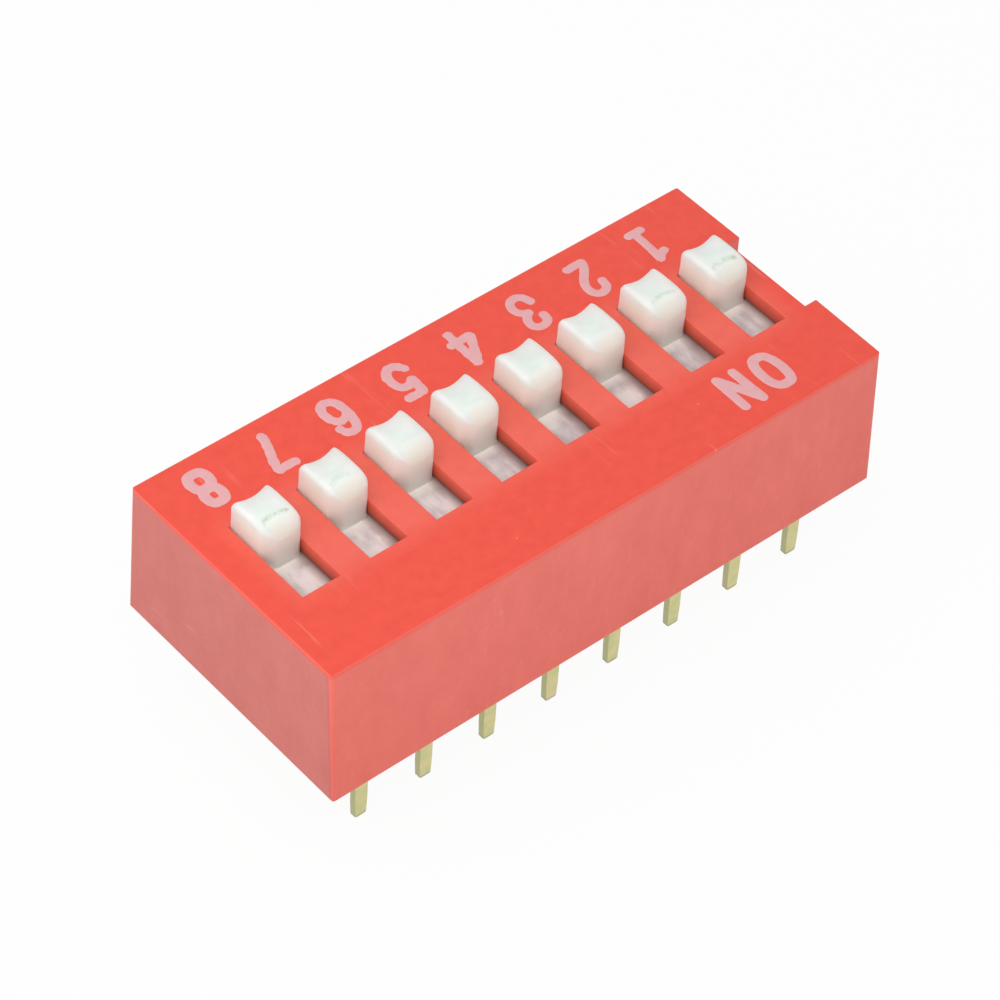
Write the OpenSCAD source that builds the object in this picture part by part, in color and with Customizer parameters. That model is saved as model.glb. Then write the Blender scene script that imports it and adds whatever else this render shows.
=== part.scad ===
// Slide DIP switch for through-hole boards, with raised actuators.
//
// A moulded cover drops over a moulded base, and a poured seal closes the underside. Each
// switch has an actuator with a plate under the roof of the cover and a skirt that carries
// a sprung contact bridge. Pushed to the ON side, the bridge joins the two terminals that are
// moulded into the base under it.
//
// Frame: millimetres. The origin is the centre of the seating plane, which is the rim of the
// cover. +X runs from switch 1 to the last switch, +Y points to the ON side, +Z points up
// from the board. The pins reach below z = 0. All actuators are drawn at OFF.

/* [Switch array] */
// Number of switches side by side
positions = 8; // [2:1:12]
// Distance from one switch to the next
pitch = 2.54; // [2.5:0.01:2.6]
// Distance between the two rows of pins
row_spacing = 7.62; // [7.5:0.01:7.7]

/* [Cover] */
// Width of the top face across the two rows
body_w = 9.57; // [9.4:0.01:10.2]
// How far each long side leans out between the top face and the rim
draft = 0.26; // [0:0.02:0.3]
// Height of the cover from its rim to its top face
body_h = 5.4; // [5.2:0.05:6.4]
// Distance from the middle of an end switch to the end face
end_margin = 2.04; // [1.95:0.01:2.6]
// Thickness of the end walls
end_wall_t = 0.75; // [0.65:0.05:0.8]
// Thickness of the roof round the slots
roof_t = 0.55; // [0.45:0.05:0.7]
// Radius of the four upright corners
corner_r = 0.12; // [0.1:0.02:0.4]
// Radius of the edges round the top face and the rim
edge_r = 0.06; // [0.02:0.01:0.1]
// Thickness of the fins that hang from the roof between the plates
fin_t = 0.34; // [0.25:0.01:0.45]
// Distance of the middle of the slots from the middle of the cover, towards ON
slot_shift = 0.05; // [-0.1:0.01:0.15]
// Width of the orientation notch in the end next to switch 1
notch_w = 3.6; // [2:0.05:5]
// How far the orientation notch goes into the end wall
notch_depth = 0.5; // [0.3:0.05:0.55]
// How far the orientation notch goes down from the top face
notch_drop = 2.2; // [1:0.1:4]

/* [Actuators] */
// Width of the knob along the row
knob_w = 1.36; // [1:0.01:1.4]
// Length of the knob in the direction of travel
knob_l = 1.75; // [1.4:0.01:1.8]
// Height of the knob above the top face
knob_rise = 1.1; // [0.6:0.05:1.8]
// Travel from OFF to ON
travel = 1.7; // [1.5:0.05:1.8]
// Radius of the upright corners of the knob
knob_corner_r = 0.14; // [0.1:0.01:0.3]
// Radius of the top edge on the ON side of the knob
knob_front_r = 0.38; // [0.2:0.01:0.5]
// Radius of the top edge on the OFF side of the knob
knob_back_r = 0.2; // [0.1:0.01:0.4]
// Radius of the two long top edges of the knob
knob_side_r = 0.2; // [0.05:0.01:0.25]
// Width of the hollow along the top of the knob
hollow_w = 0.9; // [0.6:0.01:0.95]
// Depth of the hollow along the top of the knob
hollow_depth = 0.24; // [0.1:0.01:0.3]
// Thickness of the plate under the roof
plate_t = 0.5; // [0.35:0.05:0.7]
// How far the plate reaches past the slot when it has moved away
plate_lap = 0.25; // [0.1:0.05:0.35]
// Thickness of the end walls of the skirt
skirt_wall = 0.3; // [0.2:0.05:0.4]
// Height of the skirt above the floor of the base
skirt_lift = 0.4; // [0.3:0.05:0.6]
// Depth of the pocket for the spring
pocket_depth = 0.85; // [0.7:0.05:1.2]
// Diameter of the peg that holds the spring
peg_d = 0.44; // [0.3:0.02:0.5]
// Diameter of the flattened head of the peg
peg_head_d = 0.66; // [0.6:0.02:0.7]
// Thickness of the flattened head of the peg
peg_head_t = 0.12; // [0.08:0.01:0.2]

/* [Contact springs] */
// Thickness of the spring strip
spring_t = 0.1; // [0.06:0.01:0.14]
// Width of the spring strip
spring_w = 0.9; // [0.8:0.05:1]
// Length of the flat web that lies in the pocket
web_l = 1.1; // [0.9:0.05:1.3]
// Radius of the bends from the web into the arms, to the middle of the strip
shoulder_r = 0.22; // [0.15:0.01:0.3]
// Radius of the contact domes, to the middle of the strip
dome_r = 0.3; // [0.2:0.01:0.35]
// Slope of the arms
arm_angle = 60; // [50:1:70]
// Slope of the turned-up tips
tip_angle = 40; // [20:1:50]
// Straight length of the turned-up tips
tip_run = 0.25; // [0.1:0.05:0.35]
// Width of the cut that splits each arm into two fingers
finger_cut = 0.18; // [0.1:0.01:0.25]

/* [Terminals] */
// Width of a pin
pin_w = 0.52; // [0.4:0.01:0.7]
// Thickness of the terminal strip
pin_t = 0.25; // [0.15:0.01:0.3]
// Length of the pins below the seating plane
pin_reach = 3.1; // [2.5:0.05:4]
// Width of the end of a pin, across its round corners
pin_tip_w = 0.36; // [0.3:0.01:0.4]
// Radius of the corners at the end of a pin
pin_tip_r = 0.12; // [0.05:0.01:0.14]
// Height over which a pin narrows to its end
pin_tip_l = 1.8; // [0.6:0.1:2]
// Width of the contact pad in the floor of the base
pad_w = 1.2; // [1:0.05:1.4]
// Inner radius of the bend between pad and pin
pin_bend_r = 0.15; // [0.1:0.01:0.25]

/* [Base and seal] */
// Thickness of the floor of the base
floor_t = 1.2; // [0.9:0.05:1.4]
// Thickness of the base outside the pins
pin_cover = 0.15; // [0.1:0.01:0.2]
// Thickness of the partitions between the switches
partition_t = 0.8; // [0.7:0.02:0.9]
// Thickness of the long walls of the base above its floor
base_wall = 0.45; // [0.35:0.05:0.5]
// Number of snap nibs on each long side of the base
nibs = 2; // [1:1:3]
// Length of a snap nib
nib_l = 1.4; // [1:0.1:2]
// Height of a snap nib
nib_h = 0.5; // [0.3:0.05:0.6]
// How far a snap nib stands out of the base
nib_out = 0.2; // [0.1:0.01:0.25]
// Height of the snap nibs above the underside of the base
nib_lift = 0.9; // [0.6:0.05:1.2]
// Thickness of the poured seal
seal_t = 0.3; // [0.2:0.05:0.4]
// Height of the seal above the seating plane
seal_recess = 0.15; // [0.1:0.05:0.3]

/* [Clearances] */
// Gap between the base and the walls of the cover
base_gap = 0.05; // [0.03:0.01:0.08]
// Gap between the fins of the cover and the partitions of the base
fin_gap = 0.03; // [0.02:0.01:0.08]
// Gap above and below the plate of an actuator
slide_gap = 0.04; // [0.03:0.01:0.08]
// Gap beside the plate and the skirt of an actuator
guide_gap = 0.05; // [0.03:0.01:0.08]
// Gap beside the knob in its slot
knob_side_gap = 0.02; // [0.01:0.01:0.1]
// Gap between the knob and the end of its slot at OFF and at ON
knob_end_gap = 0.02; // [0.01:0.01:0.06]
// Gap between a spring and the pocket and peg that hold it
spring_gap = 0.03; // [0.02:0.01:0.05]
// Gap between a contact dome and the pad under it
contact_gap = 0.02; // [0.01:0.01:0.04]
// Gap between a terminal and the plastic moulded round it
mould_gap = 0.01; // [0.005:0.005:0.02]

/* [Hidden] */
$fn = 48;

cut = 0.5;                                      // how far a cutting shape runs past a face
bend_step = 10;                                 // largest turn between two facets of a bend
round_steps = 6;                                // facets round an edge or the end of a pin

// Cover
body_l = (positions - 1) * pitch + 2 * end_margin;
rim_w = body_w + 2 * draft;
lean = atan(draft / body_h);                    // slope of the long sides
cavity_l = body_l - 2 * end_wall_t;
cavity_w = row_spacing + pin_t + 2 * pin_cover + 2 * base_gap;
roof_z = body_h - roof_t;
slot_w = knob_w + 2 * knob_side_gap;
slot_l = knob_l + travel + 2 * knob_end_gap;

// Base and seal
seal_z = seal_recess;
base_z = seal_z + seal_t;
floor_z = base_z + floor_t;
base_l = cavity_l - 2 * base_gap;
base_w = cavity_w - 2 * base_gap;
bay_w = pitch - partition_t;                    // room for one skirt between partitions
bay_l = base_w - 2 * base_wall;

// Actuators
plate_w = pitch - fin_t - 2 * guide_gap;
plate_l = slot_l + travel + 2 * plate_lap;
plate_top_z = roof_z - slide_gap;
plate_z = plate_top_z - plate_t;
rail_z = plate_z - slide_gap;                   // top of the partitions that carry the plates
knob_top_z = body_h + knob_rise;
off_y = slot_shift - travel / 2;                // middle of an actuator at OFF
skirt_w = bay_w - 2 * guide_gap;
skirt_z = floor_z + skirt_lift;
pocket_z = skirt_z + pocket_depth;              // ceiling of the spring's pocket
pocket_w = spring_w + 2 * spring_gap;

// Contact springs
web_z = pocket_z - spring_t / 2;                // middle of the strip at the web
dome_z = floor_z + contact_gap + spring_t / 2;  // middle of the strip at its lowest point
arm_drop = web_z - dome_z - (shoulder_r + dome_r) * (1 - cos(arm_angle));
arm_run = arm_drop / sin(arm_angle);
dome_y = web_l / 2 + (shoulder_r + dome_r) * sin(arm_angle) + arm_run * cos(arm_angle);
spring_reach = dome_y + dome_r * sin(tip_angle) + tip_run * cos(tip_angle) + spring_t / 2;
pocket_l = 2 * (spring_reach + spring_gap);
skirt_l = pocket_l + 2 * skirt_wall;

// Terminals
off_pad_end = slot_shift;                       // inner end of the pads of the OFF side row
on_pad_end = slot_shift + dome_y;               // inner end of the pads of the ON side row
pin_y = row_spacing / 2;

function switch_x(i) = (i - (positions + 1) / 2) * pitch;

// ---- Helpers -------------------------------------------------------------------------------

// Rectangle with round corners, centred on the origin
module soft_rect(l, w, r) {
    square([l - 2 * r, w], center = true);
    square([l, w - 2 * r], center = true);
    for (x = [-1, 1], y = [-1, 1])
        translate([x * (l / 2 - r), y * (w / 2 - r)])
            circle(r);
}

// What to cut from a corner at the origin to round it. The inside of the corner lies between
// two headings, counted the way the angles rise from the first to the second.
module round_off(first, second, r) {
    inside = second - first;
    centre = r / sin(inside / 2) * [cos((first + second) / 2), sin((first + second) / 2)];
    arc = [
        for (k = [0:round_steps])
            let (a = first - 90 - k / round_steps * (180 - inside))
            centre + r * [cos(a), sin(a)]
    ];
    polygon(concat(arc, [
        arc[round_steps] + r * [cos(second + 90), sin(second + 90)],
        -centre,
        arc[0] + r * [cos(first - 90), sin(first - 90)]
    ]));
}

// Points along the middle of a strip, each with the heading there. A step is a straight
// length, then a bend given by its radius to the middle of the strip and its angle, and a
// positive angle turns to the left.
function course(steps, at = [0, 0], heading = 0, i = 0) =
    i == len(steps) ? [] :
    let (
        run = steps[i][0],
        r = steps[i][1],
        a = steps[i][2],
        knee = at + run * [cos(heading), sin(heading)],
        turns = ceil(abs(a) / bend_step),
        bent = [for (k = [1:1:turns]) bend_point(knee, heading, r, a, k / turns)]
    )
    concat(
        run > 0 ? [[knee, heading]] : [],
        bent,
        course(steps, turns > 0 ? bent[turns - 1][0] : knee, heading + a, i + 1)
    );

// Point and heading at a share of the way round a bend that starts at the knee
function bend_point(knee, heading, r, a, share) =
    let (
        side = sign(a),
        now = heading + share * a,
        centre = knee + side * r * [-sin(heading), cos(heading)]
    )
    [centre + side * r * [sin(now), -cos(now)], now];

// Edge-on view of a strip that starts at the origin along +X
module strip(steps, t) {
    line = concat([[[0, 0], 0]], course(steps));
    last = len(line) - 1;
    left = [for (k = [0:last]) line[k][0] + t / 2 * [-sin(line[k][1]), cos(line[k][1])]];
    right = [for (k = [last:-1:0]) line[k][0] - t / 2 * [-sin(line[k][1]), cos(line[k][1])]];
    polygon(concat(left, right));
}

// Draws its children, which are seen from +X with Y to the right, as a plate of width w in X
module across(w) {
    rotate([90, 0, 90])
        linear_extrude(w, center = true)
            children();
}

// ---- Cover ---------------------------------------------------------------------------------

module cover() {
    color("#e8483a")
        difference() {
            cover_block();
            cavity();
            slots();
            orientation_notch();
            nib_pockets();
        }
}

// Outside of the cover: two long sides that lean out towards the rim, and round edges
module cover_block() {
    difference() {
        intersection() {
            leaning_side();
            rotate(180)
                leaning_side();
            translate([-body_l, -body_w, 0])
                cube([2 * body_l, 2 * body_w, body_h]);
        }
        for (side = [0, 180])
            rotate(side) {
                across(2 * body_l) {
                    translate([body_w / 2, body_h])
                        round_off(180, 270 + lean, edge_r);
                    translate([rim_w / 2, 0])
                        round_off(90 + lean, 180, edge_r);
                }
                rotate(-90)
                    across(2 * body_w) {
                        translate([body_l / 2, body_h])
                            round_off(180, 270, edge_r);
                        translate([body_l / 2, 0])
                            round_off(90, 180, edge_r);
                    }
            }
    }
}

// Block that leans so that its +Y face is a long side of the cover, between round corners
module leaning_side() {
    translate([0, body_w / 2, body_h])
        rotate([lean, 0, 0])
            translate([0, -body_w, -body_h / 2])
                linear_extrude(3 * body_h, center = true)
                    soft_rect(body_l, 2 * body_w, corner_r);
}

// Everything inside the four walls and under the roof, apart from the fins
module cavity() {
    difference() {
        translate([-cavity_l / 2, -cavity_w / 2, -cut])
            cube([cavity_l, cavity_w, roof_z + cut]);
        for (i = [1:positions - 1])
            translate([switch_x(i + 0.5), 0, 0])
                fin();
    }
}

module fin() {
    translate([-fin_t / 2, -cavity_w / 2 - cut, rail_z + fin_gap])
        cube([fin_t, cavity_w + 2 * cut, roof_z - rail_z]);
}

module slots() {
    for (i = [1:positions])
        translate([switch_x(i) - slot_w / 2, slot_shift - slot_l / 2, roof_z - cut])
            cube([slot_w, slot_l, roof_t + 2 * cut]);
}

module orientation_notch() {
    translate([-body_l / 2 - cut, -notch_w / 2, body_h - notch_drop])
        cube([notch_depth + cut, notch_w, notch_drop + cut]);
}

module nib_pockets() {
    nib_places()
        nib(nib_out, base_gap);
}

// ---- Base ----------------------------------------------------------------------------------

module base() {
    color("#2b2b2e")
        difference() {
            union() {
                translate([-base_l / 2, -base_w / 2, base_z])
                    cube([base_l, base_w, rail_z - base_z]);
                nib_places()
                    nib(nib_out, 0);
            }
            for (i = [1:positions])
                translate([switch_x(i) - bay_w / 2, -bay_l / 2, floor_z])
                    cube([bay_w, bay_l, rail_z - floor_z + cut]);
            for (i = [1:2 * positions])
                terminal_at(i)
                    terminal_strip(mould_gap, pad_l(i));
        }
}

// Puts its children at every snap nib, with +Y pointing out of the base
module nib_places() {
    for (k = [1:nibs], side = [0, 180])
        rotate(side)
            translate([(k - (nibs + 1) / 2) * base_l / nibs, base_w / 2, base_z + nib_lift])
                children();
}

// Snap nib with a sloped top and a square catch below, or with a gap the pocket that takes it
module nib(out, gap) {
    across(nib_l + 2 * gap)
        polygon([[-cut / 2, -gap], [out + gap, -gap], [out + gap, nib_h - out + gap], [0, nib_h + 2 * gap],
            [-cut / 2, nib_h + 2 * gap]]);
}

// ---- Seal ----------------------------------------------------------------------------------

module seal() {
    color("#d9cfae")
        difference() {
            translate([-cavity_l / 2, -cavity_w / 2, seal_z])
                cube([cavity_l, cavity_w, seal_t]);
            for (i = [1:2 * positions])
                terminal_at(i)
                    translate([-pin_w / 2, -pin_t / 2, seal_z - cut])
                        cube([pin_w, pin_t, seal_t + 2 * cut]);
        }
}

// ---- Actuators -----------------------------------------------------------------------------

module actuator(i) {
    color("#eef0ea")
        translate([switch_x(i), off_y, 0])
            difference() {
                union() {
                    knob();
                    translate([-plate_w / 2, -plate_l / 2, plate_z])
                        cube([plate_w, plate_l, plate_t]);
                    translate([-skirt_w / 2, -skirt_l / 2, skirt_z])
                        cube([skirt_w, skirt_l, plate_z - skirt_z + plate_t / 2]);
                }
                spring_pocket();
            }
}

// The knob is common to three outlines: its plan, its side view and its end view
module knob() {
    h = knob_top_z - plate_top_z;
    translate([0, 0, plate_top_z])
        intersection() {
            translate([0, 0, -plate_t / 2])
                linear_extrude(h + plate_t)
                    soft_rect(knob_w, knob_l, knob_corner_r);
            across(knob_w + cut)
                knob_side_view(h);
            rotate([90, 0, 0])
                linear_extrude(knob_l + cut, center = true)
                    knob_end_view(h);
        }
}

// Seen along the row, with ON to the right: a large radius at ON and a small one at OFF
module knob_side_view(h) {
    translate([-knob_l / 2, -plate_t / 2])
        square([knob_l, h + plate_t / 2 - knob_front_r]);
    translate([-knob_l / 2 + knob_back_r, 0])
        square([knob_l - knob_back_r - knob_front_r, h]);
    translate([-knob_l / 2, 0])
        square([knob_l - knob_front_r, h - knob_back_r]);
    translate([knob_l / 2 - knob_front_r, h - knob_front_r])
        circle(knob_front_r);
    translate([-knob_l / 2 + knob_back_r, h - knob_back_r])
        circle(knob_back_r);
}

// Seen along the travel: round shoulders with a shallow hollow between them
module knob_end_view(h) {
    hollow_r = (pow(hollow_w / 2, 2) + pow(hollow_depth, 2)) / (2 * hollow_depth);
    difference() {
        union() {
            translate([-knob_w / 2, -plate_t / 2])
                square([knob_w, h + plate_t / 2 - knob_side_r]);
            translate([0, h / 2])
                soft_rect(knob_w, h, knob_side_r);
        }
        translate([0, h - hollow_depth + hollow_r])
            circle(hollow_r);
    }
}

// Pocket in the underside of the skirt, with the headed peg left standing in it
module spring_pocket() {
    difference() {
        translate([-pocket_w / 2, -pocket_l / 2, skirt_z - cut])
            cube([pocket_w, pocket_l, pocket_depth + cut]);
        translate([0, 0, pocket_z - spring_t - spring_gap - peg_head_t])
            cylinder(h = peg_head_t, d = peg_head_d);
        translate([0, 0, pocket_z - spring_t - spring_gap - peg_head_t])
            cylinder(h = spring_t + spring_gap + peg_head_t + cut / 2, d = peg_d);
    }
}

// ---- Contact springs -----------------------------------------------------------------------

// Gold-plated bridge: a web round the peg and two split arms that end in contact domes
module contact(i) {
    arm = [
        [web_l / 2, shoulder_r, -arm_angle],
        [arm_run, dome_r, arm_angle],
        [0, dome_r, tip_angle],
        [tip_run, 0, 0]
    ];
    color("#e3c766")
        translate([switch_x(i), off_y, 0])
            difference() {
                for (side = [0, 180])
                    rotate(side)
                        translate([0, 0, web_z])
                            across(spring_w)
                                strip(arm, spring_t);
                translate([0, 0, web_z - spring_t])
                    cylinder(h = 2 * spring_t, d = peg_d + 2 * spring_gap);
                for (side = [0, 180])
                    rotate(side)
                        translate([-finger_cut / 2, web_l / 2, dome_z - spring_t])
                            cube([finger_cut, spring_reach, web_z - dome_z + 2 * spring_t]);
            }
}

// ---- Terminals -----------------------------------------------------------------------------

// Terminals are numbered as on any dual in-line part: along the OFF side, then back along ON
module terminal_at(i) {
    on_side = i > positions;
    translate([switch_x(on_side ? 2 * positions + 1 - i : i), 0, 0])
        rotate(on_side ? 0 : 180)
            translate([0, pin_y, 0])
                children();
}

// Length of the pad from the middle of the pin to its inner end
function pad_l(i) = i > positions ? pin_y - on_pad_end : pin_y + off_pad_end;

// Stamped strip, with the pin in the plane y = 0 and the pad pointing to -Y, grown on every
// side by a gap
module terminal_strip(gap, pad) {
    mid_r = pin_bend_r + pin_t / 2;
    pad_mid_z = floor_z - pin_t / 2;
    bent = [
        [pad - mid_r, mid_r, -90],
        [pad_mid_z - mid_r + pin_reach, 0, 0]
    ];
    translate([0, -pad, pad_mid_z])
        across(pin_w + 2 * gap)
            strip(bent, pin_t + 2 * gap);
    translate([-pad_w / 2 - gap, -pad - gap, pad_mid_z - pin_t / 2 - gap])
        cube([pad_w + 2 * gap, pad - 2 * mid_r + 2 * gap, pin_t + 2 * gap]);
}

module terminal(i) {
    color("#d9c27a")
        terminal_at(i)
            intersection() {
                terminal_strip(0, pad_l(i));
                pin_outline();
            }
}

// Front view of a terminal: upright sides that draw in to a blunt, round-cornered end
module pin_outline() {
    end_z = -pin_reach;
    narrowing = (pin_w - pin_tip_w) / 2;
    rotate([90, 0, 0])
        linear_extrude(4 * pin_y, center = true)
            difference() {
                polygon([
                    [-pin_tip_w / 2, end_z], [pin_tip_w / 2, end_z], [pin_w / 2, end_z + pin_tip_l],
                    [pad_w / 2, 0], [pad_w / 2, body_h], [-pad_w / 2, body_h], [-pad_w / 2, 0],
                    [-pin_w / 2, end_z + pin_tip_l]
                ]);
                for (side = [0, 1])
                    mirror([side, 0])
                        translate([pin_tip_w / 2, end_z])
                            round_off(90 - atan(narrowing / pin_tip_l), 180, pin_tip_r);
            }
}

cover();
base();
seal();
for (i = [1:positions])
    actuator(i);
for (i = [1:positions])
    contact(i);
for (i = [1:2 * positions])
    terminal(i);
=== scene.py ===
# %% [markdown]
# # An eight-way DIP switch
#
# A DIP switch is a row of tiny slide switches in one moulded case, made to sit on a circuit
# board. This lesson dresses a CAD model of one. The CAD model fixes every size, and Blender
# adds what CAD leaves out: soft mould edges, the finger hollow in each white knob, the printed
# numbers, and the finish of each material.
#
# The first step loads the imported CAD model. Its nodes are the real parts: the red cover, the
# black base, the seal, eight actuators, eight contact springs and sixteen terminals. They are
# in metres, and nothing here moves them. A new piece either stands beside them or takes the
# place of one.

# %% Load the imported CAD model
import math

import bpy
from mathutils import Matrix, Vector, noise


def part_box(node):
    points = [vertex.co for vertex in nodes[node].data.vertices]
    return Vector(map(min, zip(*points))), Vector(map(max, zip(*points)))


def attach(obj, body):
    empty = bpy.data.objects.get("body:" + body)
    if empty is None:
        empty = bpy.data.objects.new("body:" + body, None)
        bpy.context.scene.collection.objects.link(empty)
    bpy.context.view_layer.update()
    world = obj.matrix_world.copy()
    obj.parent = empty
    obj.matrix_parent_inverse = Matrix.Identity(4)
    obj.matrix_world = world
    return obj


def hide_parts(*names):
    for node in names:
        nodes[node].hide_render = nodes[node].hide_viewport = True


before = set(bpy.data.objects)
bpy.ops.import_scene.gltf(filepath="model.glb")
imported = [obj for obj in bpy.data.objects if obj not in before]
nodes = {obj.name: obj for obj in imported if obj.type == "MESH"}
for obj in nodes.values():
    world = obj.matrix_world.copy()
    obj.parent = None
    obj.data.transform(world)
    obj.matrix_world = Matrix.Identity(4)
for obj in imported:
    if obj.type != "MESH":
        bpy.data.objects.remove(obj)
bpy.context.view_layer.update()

MM = 0.001

# %% [markdown]
# ## The places that later steps need
#
# A piece fits only if it is made from the sizes of the part that carries it. Those could be
# typed in again, but a typed number goes stale when the CAD changes. So they are read from the
# boxes of the CAD nodes. The cover gives the height of the top face, and each actuator gives
# the middle of its knob.

# %% Read the main places from the CAD nodes
cover_low, cover_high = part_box("cover")
top_z = cover_high.z
switches = range(1, 9)
pins = range(1, 17)


def middle_of(node):
    low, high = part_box(node)
    return (low + high) / 2


pitch = middle_of("actuator_2").x - middle_of("actuator_1").x
print("top face at", round(top_z / MM, 2), "mm, one switch every", round(pitch / MM, 2), "mm")

# %% [markdown]
# ## The camera
#
# A part this small wants a long lens, held about 14 cm away. A long lens keeps the far end of
# the row nearly as large as the near end. The camera looks down at the corner between the ON
# side and the end next to switch 8. It could be aimed with a constraint, but plain numbers for
# place and turn stay exactly where they are put.

# %% Add the camera
camera_data = bpy.data.cameras.new("product_camera")
camera_data.sensor_width = 36
camera_data.lens = 160.217
camera_data.clip_start = 0.01
camera = bpy.data.objects.new("product_camera", camera_data)
camera.location = (64.833 * MM, 69.517 * MM, 101.513 * MM)
camera.rotation_euler = [math.radians(a) for a in (43.5634, -2.5889, 139.8657)]
bpy.context.scene.collection.objects.link(camera)
bpy.context.scene.camera = camera
bpy.context.scene.view_settings.view_transform = "Standard"
print("camera", round(camera.location.length / MM), "mm from the middle of the part")

# %% [markdown]
# ## Two helpers for materials
#
# Colours are written as sRGB hex values, as in any paint program, but a shader wants linear
# light. One function turns the first into the second. Another small function adds a shader
# node with its settings and its links, so that each material reads as a short list.

# %% Colour and node helpers
def linear(hex_colour):
    """Linear RGBA of an sRGB colour such as #C0FFEE."""
    parts = [int(hex_colour[k:k + 2], 16) / 255 for k in (1, 3, 5)]
    return [c / 12.92 if c <= 0.04045 else ((c + 0.055) / 1.055) ** 2.4 for c in parts] + [1]


def add_node(tree, kind, settings=None, links=None):
    """Adds a node, sets its options or inputs, and links outputs of other nodes to its inputs."""
    node = tree.nodes.new(kind)
    for name, value in (settings or {}).items():
        if isinstance(name, str) and hasattr(node, name):
            setattr(node, name, value)
        else:
            node.inputs[name].default_value = value
    for name, output in (links or {}).items():
        tree.links.new(output, node.inputs[name])
    return node


def start_material(name):
    """A material with only its output and a Principled shader, and the object's coordinates."""
    material = bpy.data.materials.new(name)
    material.use_nodes = True
    tree = material.node_tree
    tree.nodes.clear()
    shader = add_node(tree, "ShaderNodeBsdfPrincipled")
    add_node(tree, "ShaderNodeOutputMaterial", {}, {"Surface": shader.outputs[0]})
    where = add_node(tree, "ShaderNodeTexCoord").outputs["Object"]
    return material, tree, shader, where


def every(size_mm):
    """Scale of a pattern whose spots repeat about every so many millimetres."""
    return 1000 / size_mm


def finish_with(obj, material):
    """Gives an object one material on all of its faces."""
    obj.data.materials.clear()
    obj.data.materials.append(material)


print("a grain of 0.1 mm is a pattern scale of", every(0.1))

# %% [markdown]
# ## Light and floor
#
# Glossy little parts look their plainest in a light tent: white all round, with one soft lamp
# above. Three lamps on stands would do as well, but each one would show as a spot in the
# plastic. The tent here is the world, which the camera and the reflections see as plain white,
# and which lights the part a good deal less, so that the lamp still gives the faces different
# tones. The lamp is a wide area light nearly overhead. It leans to the end next to switch 8,
# so the top is brightest and the ON side of each knob stays a little darker.

# %% Build the tent and the lamp
def seen_or_mirrored(tree):
    """1 for what is seen, straight, in a gloss or through something clear, and 0 for light."""
    rays = add_node(tree, "ShaderNodeLightPath")
    seen = add_node(tree, "ShaderNodeMath", {"operation": "MAXIMUM"},
                    {0: rays.outputs["Is Camera Ray"], 1: rays.outputs["Is Glossy Ray"]})
    seen = add_node(tree, "ShaderNodeMath", {"operation": "MAXIMUM"},
                    {0: seen.outputs[0], 1: rays.outputs["Is Transmission Ray"]})
    return seen.outputs[0]


world = bpy.data.worlds.new("light_tent")
bpy.context.scene.world = world
world.use_nodes = True
tent = world.node_tree
tent.nodes.clear()
fill = add_node(tent, "ShaderNodeBackground", {"Color": (1, 1, 1, 1), "Strength": 0.55})
white = add_node(tent, "ShaderNodeBackground", {"Color": (1, 1, 1, 1), "Strength": 1.0})
both = add_node(tent, "ShaderNodeMixShader", {},
                {0: seen_or_mirrored(tent), 1: fill.outputs[0], 2: white.outputs[0]})
add_node(tent, "ShaderNodeOutputWorld", {}, {"Surface": both.outputs[0]})

lamp_data = bpy.data.lights.new("soft_box", "AREA")
lamp_data.shape = "SQUARE"
lamp_data.size = 120 * MM
lamp_data.energy = 0.0690
lamp = bpy.data.objects.new("soft_box", lamp_data)
lamp.location = (43 * MM, 10 * MM, 85 * MM)
lamp.rotation_euler = (Vector((0, 0, 0)) - lamp.location).to_track_quat("-Z", "Y").to_euler()
bpy.context.scene.collection.objects.link(lamp)
print("lamp", round(lamp_data.energy, 3), "W, tent fill",
      round(fill.inputs["Strength"].default_value, 2))

# %% [markdown]
# The floor is a plain white sheet at the tips of the pins. A lit sheet would come out grey and
# uneven, so to the camera it glows white by itself, and only a small share of its lit look is
# mixed in, which keeps a faint shadow under the part. From below the sheet is clear, so that
# the pins and the seal can be looked at.

# %% Lay the floor
bpy.ops.object.select_all(action="DESELECT")
pin_tip_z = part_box("terminal_1")[0].z
bpy.ops.mesh.primitive_circle_add(vertices=96, radius=2.5, fill_type="NGON",
                                  location=(0, 0, pin_tip_z))
floor = bpy.context.object
floor.name = "paper_floor"
paper = bpy.data.materials.new("white_paper_sheet")
paper.use_nodes = True
tree = paper.node_tree
tree.nodes.clear()
lit = add_node(tree, "ShaderNodeBsdfDiffuse", {"Color": linear("#EDEDEB")})
glow = add_node(tree, "ShaderNodeEmission", {"Color": (1, 1, 1, 1), "Strength": 1.0})
share = add_node(tree, "ShaderNodeMath", {"operation": "MULTIPLY", 1: 0.95},
                 {0: seen_or_mirrored(tree)})
sheet = add_node(tree, "ShaderNodeMixShader", {},
                 {0: share.outputs[0], 1: lit.outputs[0], 2: glow.outputs[0]})
clear = add_node(tree, "ShaderNodeBsdfTransparent")
back = add_node(tree, "ShaderNodeNewGeometry")
two_sided = add_node(tree, "ShaderNodeMixShader", {},
                     {0: back.outputs["Backfacing"], 1: sheet.outputs[0], 2: clear.outputs[0]})
add_node(tree, "ShaderNodeOutputMaterial", {}, {"Surface": two_sided.outputs[0]})
finish_with(floor, paper)
print("floor at", round(pin_tip_z / MM, 2), "mm")
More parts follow.
